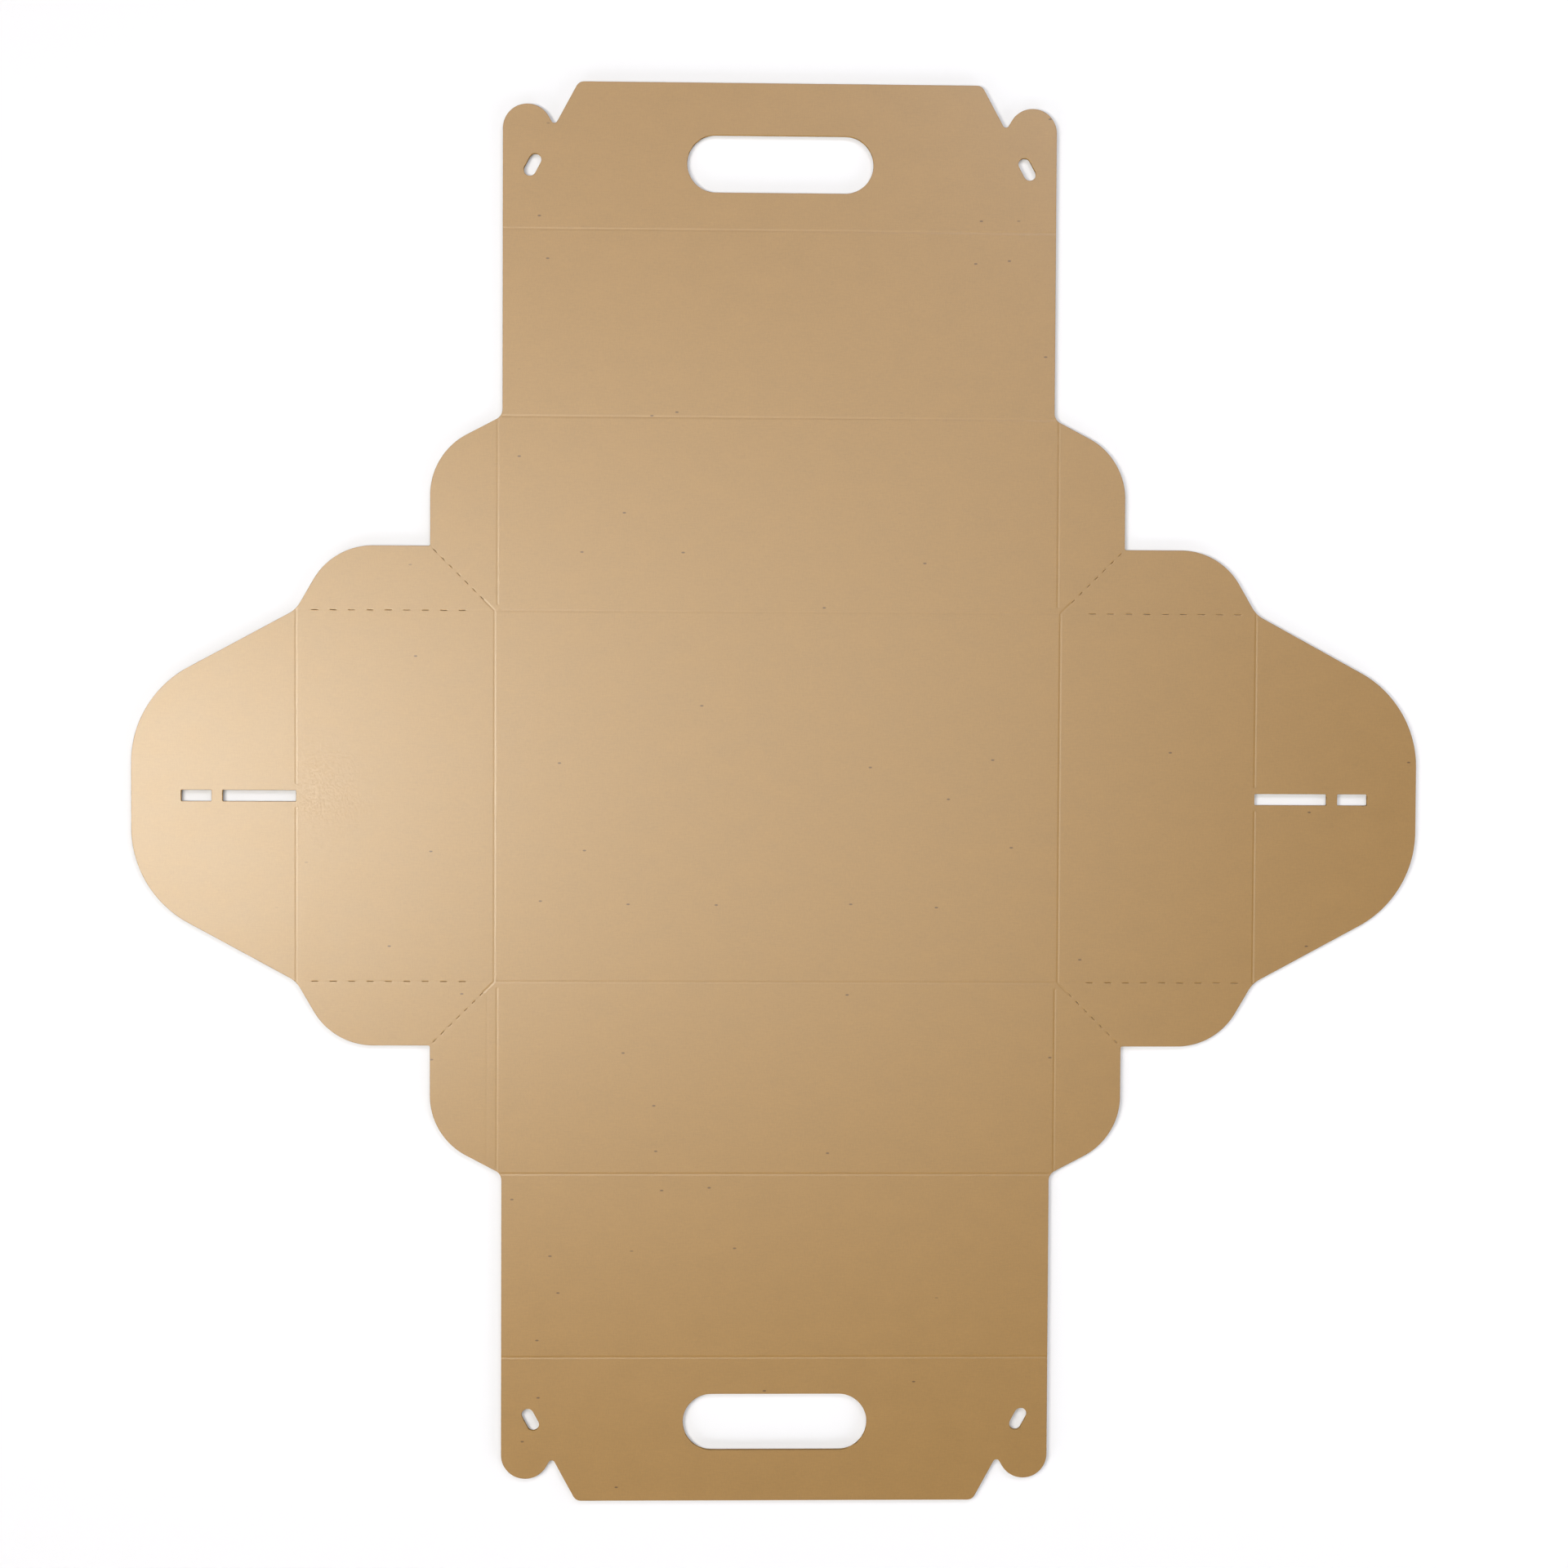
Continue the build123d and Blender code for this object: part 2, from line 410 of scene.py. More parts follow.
    def fold_presses(self) -> list[Press]:
        """Every fold line."""
        side_x, wall_y, roof_x = self.side_fold_x, self.wall_fold_y, self.roof_side_x
        roof_y, handle_y, flap_x = self.roof_fold_y, self.handle_fold_y, self.flap_fold_x
        diagonal = self.diagonal_fold_length * math.sqrt(0.5)
        lines = []
        for side in (1, -1):
            lines += [
                ((side * side_x, -wall_y), (side * side_x, wall_y), self.fold_depth),
                ((-side_x, side * wall_y), (side_x, side * wall_y), self.wall_fold_depth),
                ((-roof_x, side * roof_y), (roof_x, side * roof_y), self.roof_fold_depth),
                ((-roof_x, side * handle_y), (roof_x, side * handle_y), self.roof_fold_depth),
            ]
            for up in (1, -1):
                corner, root = (side * side_x, up * wall_y), (side * flap_x, up * wall_y)
                slot_end = (side * flap_x, up * (self.slot_width / 2 + self.fold_gap))
                web_foot = (side * self.web_fold_x, up * (wall_y + self.fold_gap))
                web_head = (side * self.web_fold_x, up * roof_y)
                tip = (corner[0] + side * diagonal, corner[1] + up * diagonal)
                lines += [(slot_end, root, self.fold_depth), (corner, root, self.web_press_depth),
                          (web_foot, web_head, self.fold_depth), (corner, tip, self.fold_depth)]
        return [Press(start, end, depth, self.fold_half_width) for start, end, depth in lines]

    def faint_presses(self) -> list[Press]:
        """The mark that the creasing matrix left beside one web fold, and the drawn-in lips of the cuts."""
        mark_x = -self.web_fold_x - self.matrix_mark_offset
        mark_ends = (
            (mark_x, -self.wall_fold_y - 2 * self.fold_gap), (mark_x, 2 * self.fold_gap - self.roof_fold_y)
        )
        lip = self.cut_width / 2 + self.cut_lip_width
        return [Press(*mark_ends, self.matrix_mark_depth, self.fold_half_width)] + [
            Press(tuple(start), tuple(end), self.cut_lip_depth, lip) for start, end in self.cut_lines()
        ]

    def sunk(self, points: np.ndarray, presses: list[Press]) -> np.ndarray:
        """Depth of some presses at each point.

        At a distance r within the half width w of a press of depth d, it is d * cos(pi / 2 * r / w) ** 2.
        Where presses cross, the deeper one holds.
        """
        starts, ends = (np.array([getattr(press, name) for press in presses]) for name in ("start", "end"))
        depth, half = (
            np.array([getattr(press, name) for press in presses]) for name in ("depth", "half_width")
        )
        sunk = np.zeros(len(points))
        for rows in np.array_split(np.arange(len(points)), max(1, len(points) // FOLD_BATCH)):
            share = np.clip(segment_distance(points[rows], starts, ends) / half, 0.0, 1.0)
            sunk[rows] = (depth * np.cos(share * math.pi / 2) ** 2).max(axis=1)
        return sunk

    def top(self, points: np.ndarray) -> np.ndarray:
        """Height of the top face at each point, in mm."""
        return self.thickness - self.sunk(points, self.folds + self.faint)

    def under(self, points: np.ndarray) -> np.ndarray:
        """Height of the underside at each point, in mm. It is level, and rests on a bead under each fold."""
        return self.bead_height - self.sunk(points, self.beads)

    def slope(
        self, points: np.ndarray, height: Callable[[np.ndarray], np.ndarray], facing: int
    ) -> np.ndarray:
        """Normals of a face that is a height over the plan.

        A normal is (-dz/dx, -dz/dy, 1) at unit length, and each slope is a central difference.

        Args:
            points: (n, 2) points of the plan.
            height: the face's height at each point.
            facing: 1 for a face that looks up, or -1 for one that looks down.

        Returns:
            (n, 3) normals.
        """
        nudge = self.slope_nudge
        rise = [
            (height(points + step) - height(points - step)) / (2 * nudge) for step in nudge * np.eye(2)
        ]
        return facing * unit(np.column_stack([-rise[0], -rise[1], np.ones(len(points))]))

    def refined(self, loop: np.ndarray) -> np.ndarray:
        """Adds points to a loop where it crosses a fold, halving its steps there until they are short."""
        starts, ends = (np.array([getattr(fold, name) for fold in self.folds]) for name in ("start", "end"))
        while True:
            ahead = np.roll(loop, -1, axis=0)
            step = np.linalg.norm(ahead - loop, axis=1)
            middle = (loop + ahead) / 2
            near = segment_distance(middle, starts, ends).min(axis=1) < self.fold_half_width + step / 2
            split = np.flatnonzero(near & (step > self.crossing_pace))
            if len(split) == 0:
                return loop
            loop = np.insert(loop, split + 1, middle[split], axis=0)

    def rails(self, presses: list[Press], offsets: np.ndarray, pace: float) -> np.ndarray:
        """Points along both sides of presses, at set shares of their half width.

        Args:
            presses: the presses to follow.
            offsets: where the rails run, as shares of a press's half width to either side of its line.
            pace: longest step along the middle of a press. The steps round its ends are shorter.

        Returns:
            (n, 2) points.
        """
        points = []
        for press in presses:
            start, along = np.array(press.start), np.subtract(press.end, press.start)
            length = np.linalg.norm(along)
            along = along / length
            across = np.array([-along[1], along[0]])
            end_run = np.arange(-self.rail_end, self.rail_end, self.rail_end_pace)
            middle_run = np.linspace(self.rail_end, length - self.rail_end, max(2, math.ceil(length / pace)))
            stations = np.concatenate([end_run, middle_run, length - end_run])
            sideways = (offsets * press.half_width)[None, :, None] * across
            points.append((start + stations[:, None, None] * along + sideways).reshape(-1, 2))
        return np.concatenate(points)

    # The mesh

    def face(self, rings: list[np.ndarray], inner: np.ndarray) -> tuple[np.ndarray, np.ndarray]:
        """Triangles of a face between its rings, over its inner points.

        Args:
            rings: the outline's ring first, then those of the holes.
            inner: (n, 2) points to use where they are clear of the rings.

        Returns:
            (m, 2) points, the rings' own first, and (k, 3) anticlockwise triangles.
        """
        inner = spread_out(inner, self.least_gap / 2)
        inner = inner[clear_inside(inner, rings, self.least_gap)]
        points = np.concatenate([*rings, inner])
        ring = np.concatenate([np.full(len(r), k) for k, r in enumerate(rings)] + [np.full(len(inner), -1)])
        first = np.cumsum([0] + [len(r) for r in rings])
        runs = [np.arange(a, b) for a, b in zip(first, first[1:])]
        sides = [np.stack([run, np.roll(run, -1)], axis=1) for run in runs]
        found = delaunay_2d_cdt(
            [Vector(point) for point in points.tolist()], np.concatenate(sides).tolist(), [], 0, 1e-7, False
        )
        if len(found[0]) != len(points):
            raise ValueError("two points of the face fell together")
        triangles = np.array(found[2])
        # Only a triangle with all its corners on one ring can lie in a hole or outside the outline.
        corner_rings = ring[triangles]
        one_ring = (corner_rings == corner_rings[:, :1]).all(axis=1)
        doubtful = np.flatnonzero((corner_rings[:, 0] >= 0) & one_ring)
        off_board = ~clear_inside(points[triangles[doubtful]].mean(axis=1), rings, 0.0)
        triangles = np.delete(triangles, doubtful[off_board], axis=0)
        a, b, c = (points[triangles[:, k]] for k in range(3))
        area = (b[:, 0] - a[:, 0]) * (c[:, 1] - a[:, 1]) - (b[:, 1] - a[:, 1]) * (c[:, 0] - a[:, 0])
        triangles[area < 0] = triangles[area < 0][:, ::-1]
        return points, triangles

    def edge(self, loop: np.ndarray, cut: EdgeCut) -> tuple[np.ndarray, np.ndarray, np.ndarray]:
        """Wall round one loop: the knife's profile carried along it.

        A row stands off the loop along the normal between two sides, and its height is its share of the
        board's height there, between the underside and the pressed top. A row's normal lies across the
        profile, midway between its two segments; the first and last rows take the faces' own normals.

        Returns:
            (rows, n, 3) points, (rows, n, 3) normals, and (k, 4) quads over them, numbered row by row.
        """
        ahead = unit(np.roll(loop, -1, axis=0) - loop)
        behind = np.roll(ahead, 1, axis=0)
        out = np.stack([ahead[:, 1] + behind[:, 1], -ahead[:, 0] - behind[:, 0]], axis=1)
        out /= 1.0 + (ahead * behind).sum(axis=1, keepdims=True)
        offsets, shares_up = np.array(cut.value).T
        plan = loop + offsets[:, None, None] * out
        top, bottom = self.top(plan[0]), self.under(plan[-1])
        height = bottom + shares_up[:, None] * (top - bottom)

        across = unit(np.stack([-np.diff(shares_up) * self.thickness, np.diff(offsets)], axis=1))
        across = unit(across[1:] + across[:-1])
        sides = np.concatenate([across[:, None, :1] * unit(out), np.broadcast_to(
            across[:, None, 1:], (len(across), len(loop), 1))], axis=2)
        normals = np.concatenate([
            self.slope(plan[0], self.top, 1)[None], sides, self.slope(plan[-1], self.under, -1)[None]
        ])

        rows, count = len(offsets), len(loop)
        index = np.arange(rows * count).reshape(rows, count)
        upper, lower = index[:-1], index[1:]
        quads = np.stack([upper, lower, np.roll(lower, -1, axis=1), np.roll(upper, -1, axis=1)], axis=2)
        return np.concatenate([plan, height[..., None]], axis=2), normals, quads.reshape(-1, 4)

    def grid(self) -> np.ndarray:
        """Evenly spaced points over the whole sheet, clear of the rails."""
        x = np.arange(-self.flap_end_x, self.flap_end_x, self.grid_pace)
        y = np.arange(-self.handle_top_y, self.handle_top_y, self.grid_pace)
        points = np.stack(np.meshgrid(x, y), axis=2).reshape(-1, 2)
        starts, ends = (np.array([getattr(press, name) for press in self.folds + self.faint])
                        for name in ("start", "end"))
        return points[segment_distance(points, starts, ends).min(axis=1) > 1.5 * self.rail_pace]

    def build(self) -> bpy.types.Object:
        """Makes the sheet as one closed mesh: top face, underside, and an edge round every loop."""
        loops = [self.outline, *self.openings, *self.slits]
        cuts = [EdgeCut.SHEARED] * (1 + len(self.openings)) + [EdgeCut.PIERCED] * len(self.slits)
        edges = [self.edge(loop, cut) for loop, cut in zip(loops, cuts)]
        grid = self.grid()
        rails = self.rails(self.folds + self.faint, TOP_RAILS, self.rail_pace)
        rings = [points[0, :, :2] for points, _, _ in edges]
        top, top_triangles = self.face(rings, np.concatenate([rails, grid]))
        rails = self.rails(self.beads, UNDER_RAILS, 2 * self.rail_pace)
        rings = [points[-1, :, :2] for points, _, _ in edges]
        under, under_triangles = self.face(rings, np.concatenate([rails, grid]))

        # The rings of both faces are the first and last rows of the edges, so they share those vertices.
        vertices, normals, polygons, index = [], [], [], 0
        top_map, under_map = [], []
        for points, facings, quads in edges:
            rows, count = points.shape[:2]
            vertices.append(points.reshape(-1, 3))
            normals.append(facings.reshape(-1, 3))
            polygons.append(quads + index)
            top_map.append(index + np.arange(count))
            under_map.append(index + (rows - 1) * count + np.arange(count))
            index += rows * count
        ring_points = sum(len(ids) for ids in top_map)
        for plan, height, facing, ids in ((top, self.top, 1, top_map), (under, self.under, -1, under_map)):
            inner = plan[ring_points:]
            vertices.append(np.column_stack([inner, height(inner)]))
            normals.append(self.slope(inner, height, facing))
            ids.append(index + np.arange(len(inner)))
            index += len(inner)
        top_triangles = np.concatenate(top_map)[top_triangles]
        under_triangles = np.concatenate(under_map)[under_triangles][:, ::-1]

        coordinates = np.concatenate(vertices)
        quads = np.concatenate(polygons)
        mesh = bpy.data.meshes.new("carry_box_blank")
        mesh.from_pydata(
            coordinates * MM, [], quads.tolist() + top_triangles.tolist() + under_triangles.tolist()
        )
        # The liner is drawn down into the short cuts, so their walls keep the face's finish.
        walls = np.concatenate([
            np.full(len(polygon), cut is EdgeCut.SHEARED) for polygon, cut in zip(polygons, cuts)
        ])
        finish = np.concatenate([walls, np.zeros(len(top_triangles)), np.full(len(under_triangles), 2)])
        mesh.polygons.foreach_set("material_index", finish.astype(np.int32))
        mesh.polygons.foreach_set("use_smooth", np.ones(len(finish), bool))
        crease = mesh.attributes.new("crease_press", "FLOAT", "POINT")
        pressed = self.sunk(coordinates[:, :2], self.folds) / self.fold_depth
        crease.data.foreach_set("value", pressed.astype(np.float32))
        mesh.update()
        mesh.validate(verbose=False)
        mesh.normals_split_custom_set_from_vertices(np.concatenate(normals).tolist())
        sheet = bpy.data.objects.new("carry_box_blank", mesh)
        bpy.context.scene.collection.objects.link(sheet)
        log.info("sheet: %d vertices, %d quads, %d + %d triangles",
                 len(coordinates), len(quads), len(top_triangles), len(under_triangles))
        return sheet

    def dress(self, sheet: bpy.types.Object, finishes: list["Finish"]) -> None:
        """Gives the sheet its finishes, in the order of the mesh's material numbers."""
        for finish in finishes:
            sheet.data.materials.append(finish.build())


# --- Finishes ---


def linear(hex_colour: str) -> tuple[float, float, float, float]:
    """Turns an sRGB hex colour into Blender's linear colour with full alpha."""
    channels = [int(hex_colour[k:k + 2], 16) / 255 for k in (1, 3, 5)]
    return (*(c / 12.92 if c <= 0.04045 else ((c + 0.055) / 1.055) ** 2.4 for c in channels), 1.0)


def add_node(
    tree: bpy.types.NodeTree, kind: str, inputs: dict | None = None, **settings: Any
) -> bpy.types.Node:
    """Adds a node with its settings, and fills its inputs.

    Args:
        tree: the material's node tree.
        kind: the node's type.
        inputs: for each input's name or number, a value, or a socket to link from.
        settings: the node's own attributes.

    Returns:
        The new node.
    """
    node = tree.nodes.new(kind)
    for name, value in settings.items():
        setattr(node, name, value)
    for name, value in (inputs or {}).items():
        if isinstance(value, bpy.types.NodeSocket):
            tree.links.new(value, node.inputs[name])
        else:
            node.inputs[name].default_value = value
    return node


def mixed(tree: bpy.types.NodeTree, kind: str, amount: Any, first: Any, second: Any) -> bpy.types.NodeSocket:
    """Mixes two colours by an amount, and gives the mixed colour's socket."""
    return add_node(tree, "ShaderNodeMix", {0: amount, 6: first, 7: second},
                    data_type="RGBA", blend_type=kind).outputs[2]


def ranged(tree: bpy.types.NodeTree, value: bpy.types.NodeSocket, low: float, high: float,
           to_low: float, to_high: float) -> bpy.types.NodeSocket:
    """Maps a value from one range to another, held at its ends."""
    node = add_node(tree, "ShaderNodeMapRange", {
        "Value": value, "From Min": low, "From Max": high, "To Min": to_low, "To Max": to_high,
    })
    return node.outputs["Result"]


@dataclass(frozen=True)
class Finish:
    """A surface of the board or the studio: its colour as sRGB hex, and its roughness."""

    name: str
    colour: str
    roughness: float
    reflectance: float = 0.5

    def build(self) -> bpy.types.Material:
        """Makes the finish's material."""
        material = bpy.data.materials.new(self.name)
        material.use_nodes = True
        tree = material.node_tree
        tree.nodes.clear()
        shader = add_node(tree, "ShaderNodeBsdfPrincipled", {
            "Base Color": linear(self.colour), "Roughness": self.roughness, "IOR": 1.5,
            "Specular IOR Level": self.reflectance,
        })
        add_node(tree, "ShaderNodeOutputMaterial", {"Surface": shader.outputs["BSDF"]})
        self.detail(tree, shader)
        return material

    def detail(self, tree: bpy.types.NodeTree, shader: bpy.types.Node) -> None:
        """Adds the finish's own detail to its shader. A plain finish has none."""

    def noise(self, tree: bpy.types.NodeTree, period: float, stretch: tuple[float, float, float] = (1, 1, 1),
              octaves: float = 2.0, seed: float = 0.0) -> bpy.types.NodeSocket:
        """Solid noise over the piece, whose grain is about a period long in mm, drawn out by a stretch."""
        place = add_node(tree, "ShaderNodeTexCoord").outputs["Object"]
        drawn = add_node(tree, "ShaderNodeMapping", {
            "Vector": place, "Scale": tuple(1.0 / (period * MM * long) for long in stretch),
        })
        return add_node(tree, "ShaderNodeTexNoise", {
            "Vector": drawn.outputs["Vector"], "W": seed, "Scale": 1.0, "Detail": octaves, "Roughness": 0.55,
        }, noise_dimensions="4D").outputs[0]


@dataclass(frozen=True)
class KraftLiner(Finish):
    """Unbleached kraft paper, the board's outer ply.

    Real kraft liner is brown wood pulp that settles unevenly on the wire, so it has soft clouds a few
    millimetres wide and short fibres that lie mostly along the web, with a stray dark bark speck here
    and there. A calender polishes it to a satin, so a light leaves a broad soft sheen that pales it.
    """

    cloud_size: float = 9.0
    cloud_strength: float = 0.035
    fibre_size: float = 0.5
    fibre_strength: float = 0.05
    speck_cell: float = 46.0
    speck_radius: float = 0.9
    speck_length: float = 2.2
    speck_colour: str = "#452607"
    speck_choice: tuple[float, float] = (0.62, 0.66)
    speck_strength: float = 0.9
    polish: float = 0.008
    tooth: float = 0.006

    def detail(self, tree: bpy.types.NodeTree, shader: bpy.types.Node) -> None:
        """Clouds and fibres vary the colour, specks darken it, and a fold's pressed line is polished."""
        base = linear(self.colour)
        # Clouds and fibres: each shifts the brown evenly to both sides, so its mean stays the liner's own.
        clouds = self.noise(tree, self.cloud_size, (1.5, 1.0, 1.0), 3.0)
        fibres = self.noise(tree, self.fibre_size, (6.0, 1.0, 1.0), 2.0, 3.0)
        cross_fibres = self.noise(tree, self.fibre_size, (1.0, 4.0, 1.0), 2.0, 7.0)
        colour = mixed(tree, "MULTIPLY", 1.0, base, self.level(tree, clouds, self.cloud_strength))
        colour = mixed(tree, "MULTIPLY", 1.0, colour, self.level(tree, fibres, self.fibre_strength))
        colour = mixed(tree, "MULTIPLY", 1.0, colour, self.level(tree, cross_fibres, self.fibre_strength))
        # Specks: the middles of loose cells, each a speck only where its cell's own random value is high.
        place = add_node(tree, "ShaderNodeMapping", {
            "Vector": add_node(tree, "ShaderNodeTexCoord").outputs["Object"],
            "Scale": (1.0 / (self.speck_cell * MM), self.speck_length / (self.speck_cell * MM), 1.0),
        })
        cells = add_node(tree, "ShaderNodeTexVoronoi", {"Vector": place.outputs["Vector"], "Scale": 1.0},
                         feature="F1", voronoi_dimensions="2D")
        radius = self.speck_radius / self.speck_cell
        spot = ranged(tree, cells.outputs["Distance"], 0.6 * radius, radius, 1.0, 0.0)
        chosen = ranged(tree, cells.outputs["Color"], *self.speck_choice, 0.0, self.speck_strength)
        speck = add_node(tree, "ShaderNodeMath", {0: spot, 1: chosen}, operation="MULTIPLY").outputs[0]
        colour = mixed(tree, "MIX", speck, colour, linear(self.speck_colour))
        tree.links.new(colour, shader.inputs["Base Color"])

        # Satin: the sheen breaks up with the clouds, and the rule that pressed a fold polished it.
        press = add_node(tree, "ShaderNodeAttribute", attribute_name="crease_press").outputs["Fac"]
        satin = ranged(tree, clouds, 0.3, 0.7, self.roughness - self.polish, self.roughness + self.polish)
        satin = add_node(tree, "ShaderNodeMath", {0: press, 1: -self.polish, 2: satin},
                         operation="MULTIPLY_ADD")
        tree.links.new(satin.outputs[0], shader.inputs["Roughness"])
        # Tooth: the fibres stand a few micrometres proud.
        bump = add_node(tree, "ShaderNodeBump", {
            "Height": fibres, "Distance": self.tooth * MM, "Strength": 1.0,
        })
        tree.links.new(bump.outputs["Normal"], shader.inputs["Normal"])

    def level(
        self, tree: bpy.types.NodeTree, value: bpy.types.NodeSocket, strength: float
    ) -> bpy.types.NodeSocket:
        """Turns noise about 0.5 into a factor about 1."""
        return ranged(tree, value, 0.25, 0.75, 1.0 - strength, 1.0 + strength)


@dataclass(frozen=True)
class CutBoard(Finish):
    """The die-cut edge of micro-flute board.

    The knife crushes the edge and leaves torn fibres between the two liners, so it is matt and a little
    paler than the face, with painted shade where the flutes end, a flute apart. The flutes run along X.
    """

    flute_pitch: float = 3.2
    # How much painted shade darkens the flutes' hollows
    painted_flute_shade: float = 0.35
    torn_size: float = 0.4
    torn_levels: tuple[float, float] = (0.88, 1.08)
    torn_height: float = 0.05

    def detail(self, tree: bpy.types.NodeTree, shader: bpy.types.Node) -> None:
        """Darkens the flutes' hollows with painted shade, and ruffles the torn fibres between them."""
        place = add_node(tree, "ShaderNodeTexCoord").outputs["Object"]
        axes = add_node(tree, "ShaderNodeSeparateXYZ", {"Vector": place})
        # A flute is one turn of a sine along Y, and the flutes' hollows are where it is over its middle.
        # Painted shade darkens the hollows.
        turn = add_node(tree, "ShaderNodeMath", {
            0: axes.outputs["Y"], 1: 2 * math.pi / (self.flute_pitch * MM),
        }, operation="MULTIPLY")
        wave = add_node(tree, "ShaderNodeMath", {0: turn.outputs[0]}, operation="SINE").outputs[0]
        painted_hollow_shade = ranged(tree, wave, -0.4, 0.9, 1.0, 1.0 - self.painted_flute_shade)
        fibres = self.noise(tree, self.torn_size, (1.0, 1.0, 1.0), 3.0)
        torn = ranged(tree, fibres, 0.3, 0.7, *self.torn_levels)
        colour = mixed(tree, "MULTIPLY", 1.0, linear(self.colour), painted_hollow_shade)
        colour = mixed(tree, "MULTIPLY", 1.0, colour, torn)
        tree.links.new(colour, shader.inputs["Base Color"])
        bump = add_node(tree, "ShaderNodeBump", {
            "Height": fibres, "Distance": self.torn_height * MM, "Strength": 0.8,
        })
        tree.links.new(bump.outputs["Normal"], shader.inputs["Normal"])


@dataclass(frozen=True)
class LightTable(Finish):
    """White acrylic, lit from below so that it stays white to its edges. Its glow rises along +X."""

    glow: float = 0.0
    glow_rise: float = 0.0

    def detail(self, tree: bpy.types.NodeTree, shader: bpy.types.Node) -> None:
        """Makes it glow by a strength, and by so much more for each metre along X."""
        place = add_node(tree, "ShaderNodeTexCoord").outputs["Object"]
        along = add_node(tree, "ShaderNodeSeparateXYZ", {"Vector": place}).outputs["X"]
        glow = add_node(tree, "ShaderNodeMath", {0: along, 1: self.glow_rise, 2: self.glow},
                        operation="MULTIPLY_ADD", use_clamp=True)
        shader.inputs["Emission Color"].default_value = (1.0, 1.0, 1.0, 1.0)
        tree.links.new(glow.outputs[0], shader.inputs["Emission Strength"])


# --- Studio ---


@dataclass(frozen=True)
class SoftBox:
    """A square soft light that faces the blank. Place and side are in metres, radiance in W per m2 sr.

    A light that isn't mirrored only brightens what it falls on, and leaves no highlight.
    """

    name: str
    place: tuple[float, float, float]
    side: float
    radiance: float
    colour: str = "#ffffff"
    mirrored: bool = True

    def build(self) -> None:
        """Adds the light. An area light of power P and area A has a radiance of P / (4 A)."""
        data = bpy.data.lights.new(self.name, "AREA")
        data.shape = "SQUARE"
        data.size = self.side
        data.energy = self.radiance * 4 * self.side**2
        data.color = linear(self.colour)[:3]
        light = bpy.data.objects.new(self.name, data)
        light.location = self.place
        light.rotation_euler = (-Vector(self.place)).to_track_quat("-Z", "Y").to_euler()
        light.visible_glossy = self.mirrored
        bpy.context.scene.collection.objects.link(light)


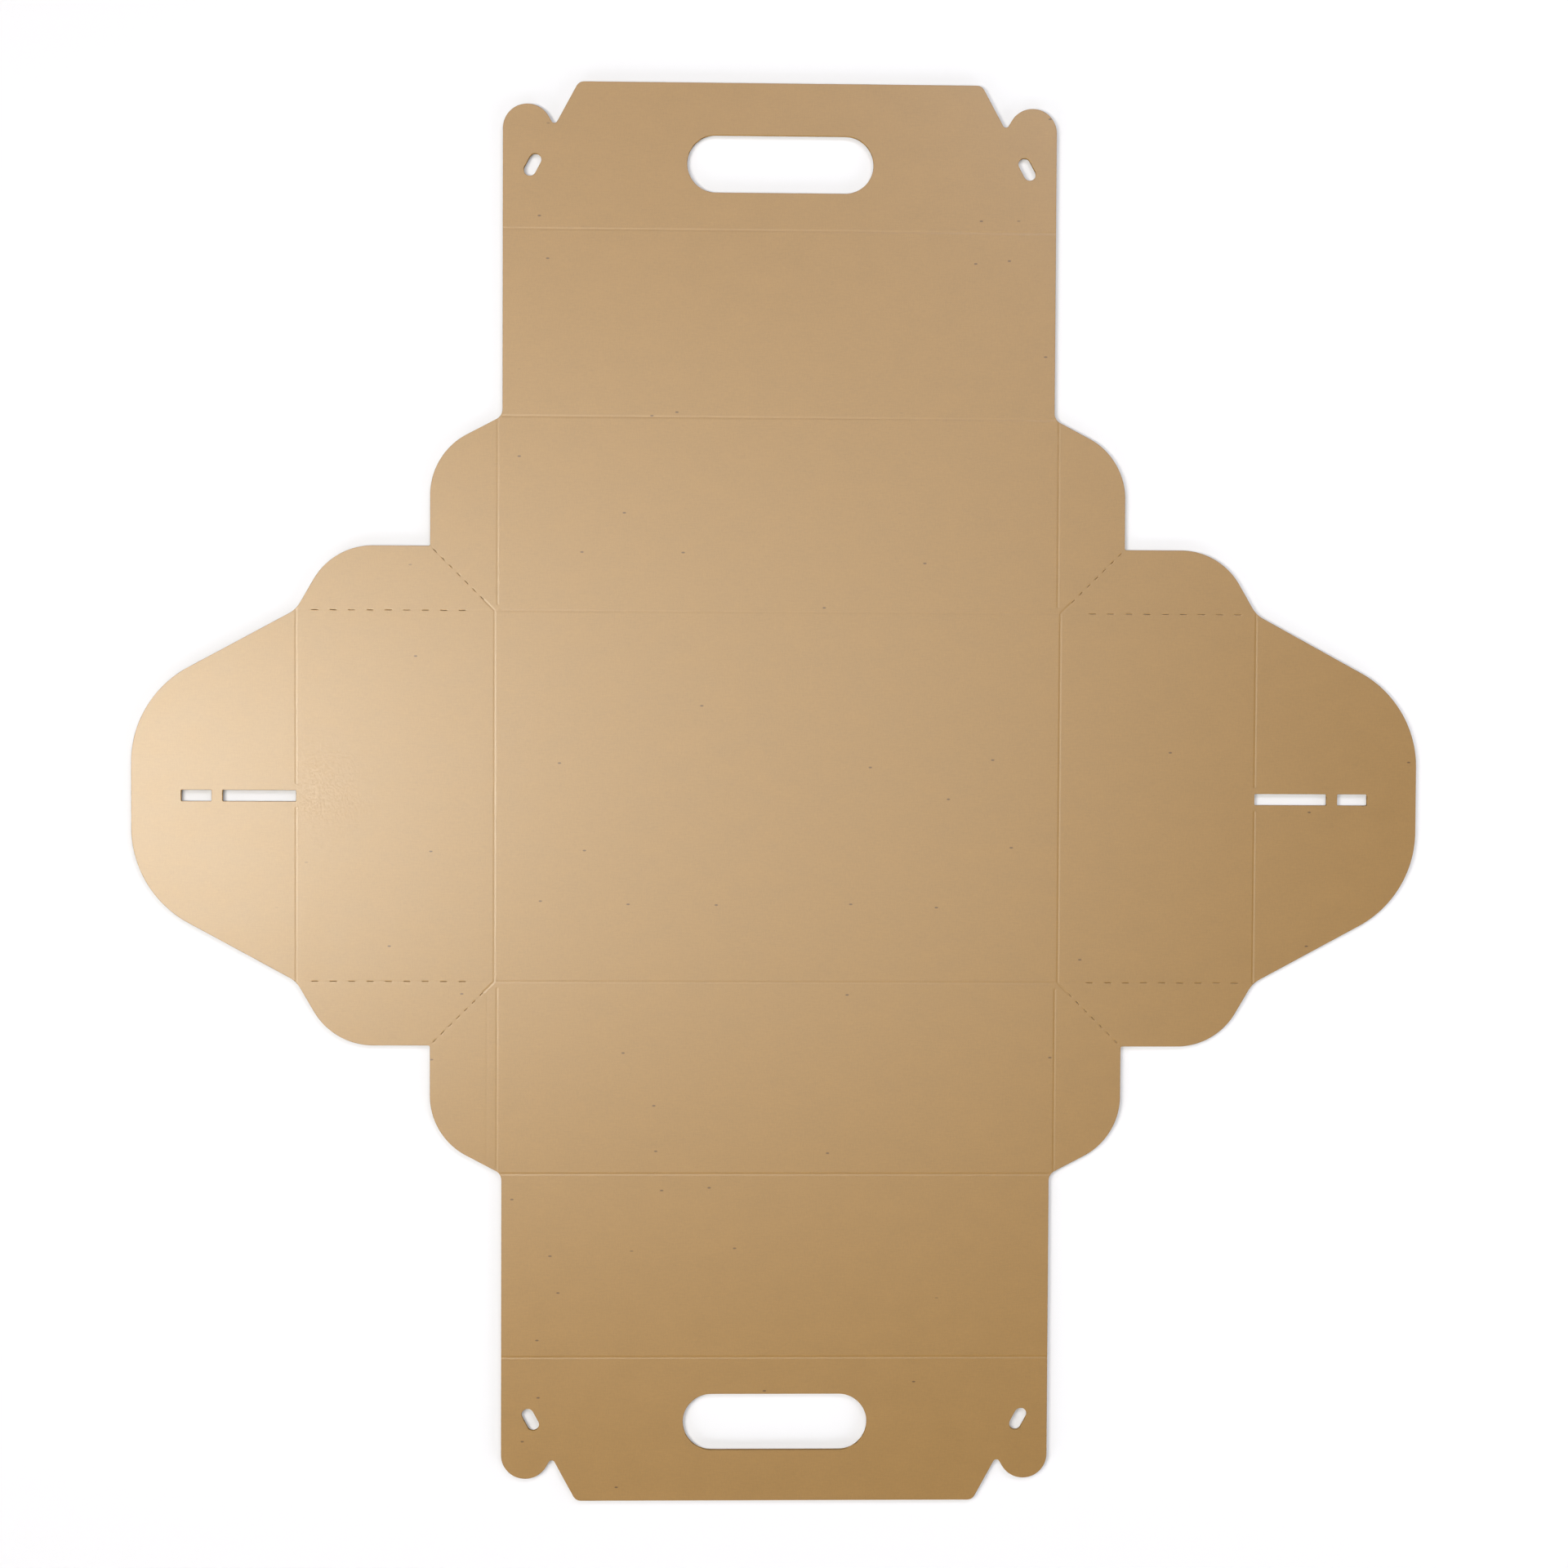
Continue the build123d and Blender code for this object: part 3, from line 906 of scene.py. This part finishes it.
@dataclass(frozen=True)
class Studio:
    """A white floor, soft lights, and a camera that looks down on the blank. Lengths are in metres."""

    floor_side: float = 6.0
    floor_gap: float = 0.0008
    floor_glow: float = 0.1
    floor_glow_rise: float = 0.28
    backdrop: float = 0.75
    wall_heights: tuple[float, float] = (0.4, 0.6)
    camera_height: float = 1.0028
    camera_x: float = -0.0207
    camera_y: float = 0.0333
    camera_turns: tuple[float, float, float] = (1.5738, 1.3316, -0.2728)
    lens: float = 54.0
    lights: tuple[SoftBox, ...] = (
        SoftBox("key_outer", (-0.9, 0.1, 1.1), 0.3, 18.5, WARM),
        SoftBox("key_middle", (-0.6, -0.1, 1.1), 0.3, 12.6, WARM),
        SoftBox("key_inner", (-0.45, 0.0, 1.1), 0.3, 6.3, WARM),
        SoftBox("low_left", (-1.4, -1.6, 0.55), 0.9, 8.1, mirrored=False),
        SoftBox("low_right", (1.4, -1.6, 0.55), 0.9, 7.2, mirrored=False),
        SoftBox("low_side", (1.0, 0.0, 0.3), 0.5, 2.25, mirrored=False),
        SoftBox("back_left", (-0.6, 1.0, 1.4), 0.6, 4.1),
        SoftBox("back_right", (0.6, 1.0, 1.4), 0.6, 7.0),
        SoftBox("overhead", (0.0, 0.0, 2.0), 1.0, 2.97, WARM),
    )

    def build_floor(self) -> None:
        """Adds the floor, just under the blank."""
        half = self.floor_side / 2
        mesh = bpy.data.meshes.new("studio_floor")
        mesh.from_pydata(
            [(-half, -half, -self.floor_gap), (half, -half, -self.floor_gap),
             (half, half, -self.floor_gap), (-half, half, -self.floor_gap)], [], [(0, 1, 2, 3)]
        )
        floor = bpy.data.objects.new("studio_floor", mesh)
        bpy.context.scene.collection.objects.link(floor)
        mesh.materials.append(LightTable("white_light_table", "#cccdd5", 1.0, 0.0, self.floor_glow,
                                         self.floor_glow_rise).build())

    def build_camera(self, top: float) -> None:
        """Adds the camera above the sheet's top face, turned about X, then Y, then Z."""
        data = bpy.data.cameras.new("camera")
        data.lens = self.lens
        data.clip_start, data.clip_end = 0.05, 20.0
        camera = bpy.data.objects.new("camera", data)
        turn_x, turn_y, turn_z = (
            Matrix.Rotation(math.radians(angle), 4, axis) for angle, axis in zip(self.camera_turns, "XYZ")
        )
        camera.matrix_world = (
            Matrix.Translation((self.camera_x, self.camera_y, self.camera_height + top))
            @ (turn_x @ turn_y @ turn_z).transposed()
        )
        bpy.context.scene.collection.objects.link(camera)
        bpy.context.scene.camera = camera

    def build(self, top: float) -> None:
        """Builds the floor, the lights, the walls seen past the floor, and the camera above the top face."""
        scene = bpy.context.scene
        scene.view_settings.view_transform = "Standard"
        scene.world = bpy.data.worlds.new("studio_air")
        scene.world.use_nodes = True
        background = scene.world.node_tree.nodes["Background"]
        background.inputs["Color"].default_value = (1.0, 1.0, 1.0, 1.0)
        # Pale walls up to a height, under a dark ceiling: seen and mirrored, but they light nothing.
        tree = scene.world.node_tree
        way = add_node(tree, "ShaderNodeTexCoord").outputs["Generated"]
        height = add_node(tree, "ShaderNodeSeparateXYZ", {"Vector": way}).outputs["Z"]
        walls = ranged(tree, height, *self.wall_heights, self.backdrop, 0.0)
        tree.links.new(walls, background.inputs["Strength"])
        scene.world.cycles_visibility.diffuse = False
        self.build_floor()
        for light in self.lights:
            light.build()
        self.build_camera(top)


def main() -> None:
    """Builds the blank and its studio."""
    logging.basicConfig(level=logging.INFO, format="%(name)s: %(message)s")
    low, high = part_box(NODE)
    size = (high - low) / MM
    blank = CarryBoxBlank(length=size.x, width=size.y, thickness=size.z)
    sheet = blank.build()
    blank.dress(sheet, [
        KraftLiner("kraft_liner_face", "#886736", 0.4, 1.0),
        CutBoard("cut_board_edge", "#907040", 0.85, 0.3),
        KraftLiner("kraft_liner_back", "#886736", 0.6, 0.5, cloud_strength=0.05),
    ])
    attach(sheet, BODY)
    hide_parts(NODE)
    Studio().build(high.z)


if __name__ == "__main__":
    main()
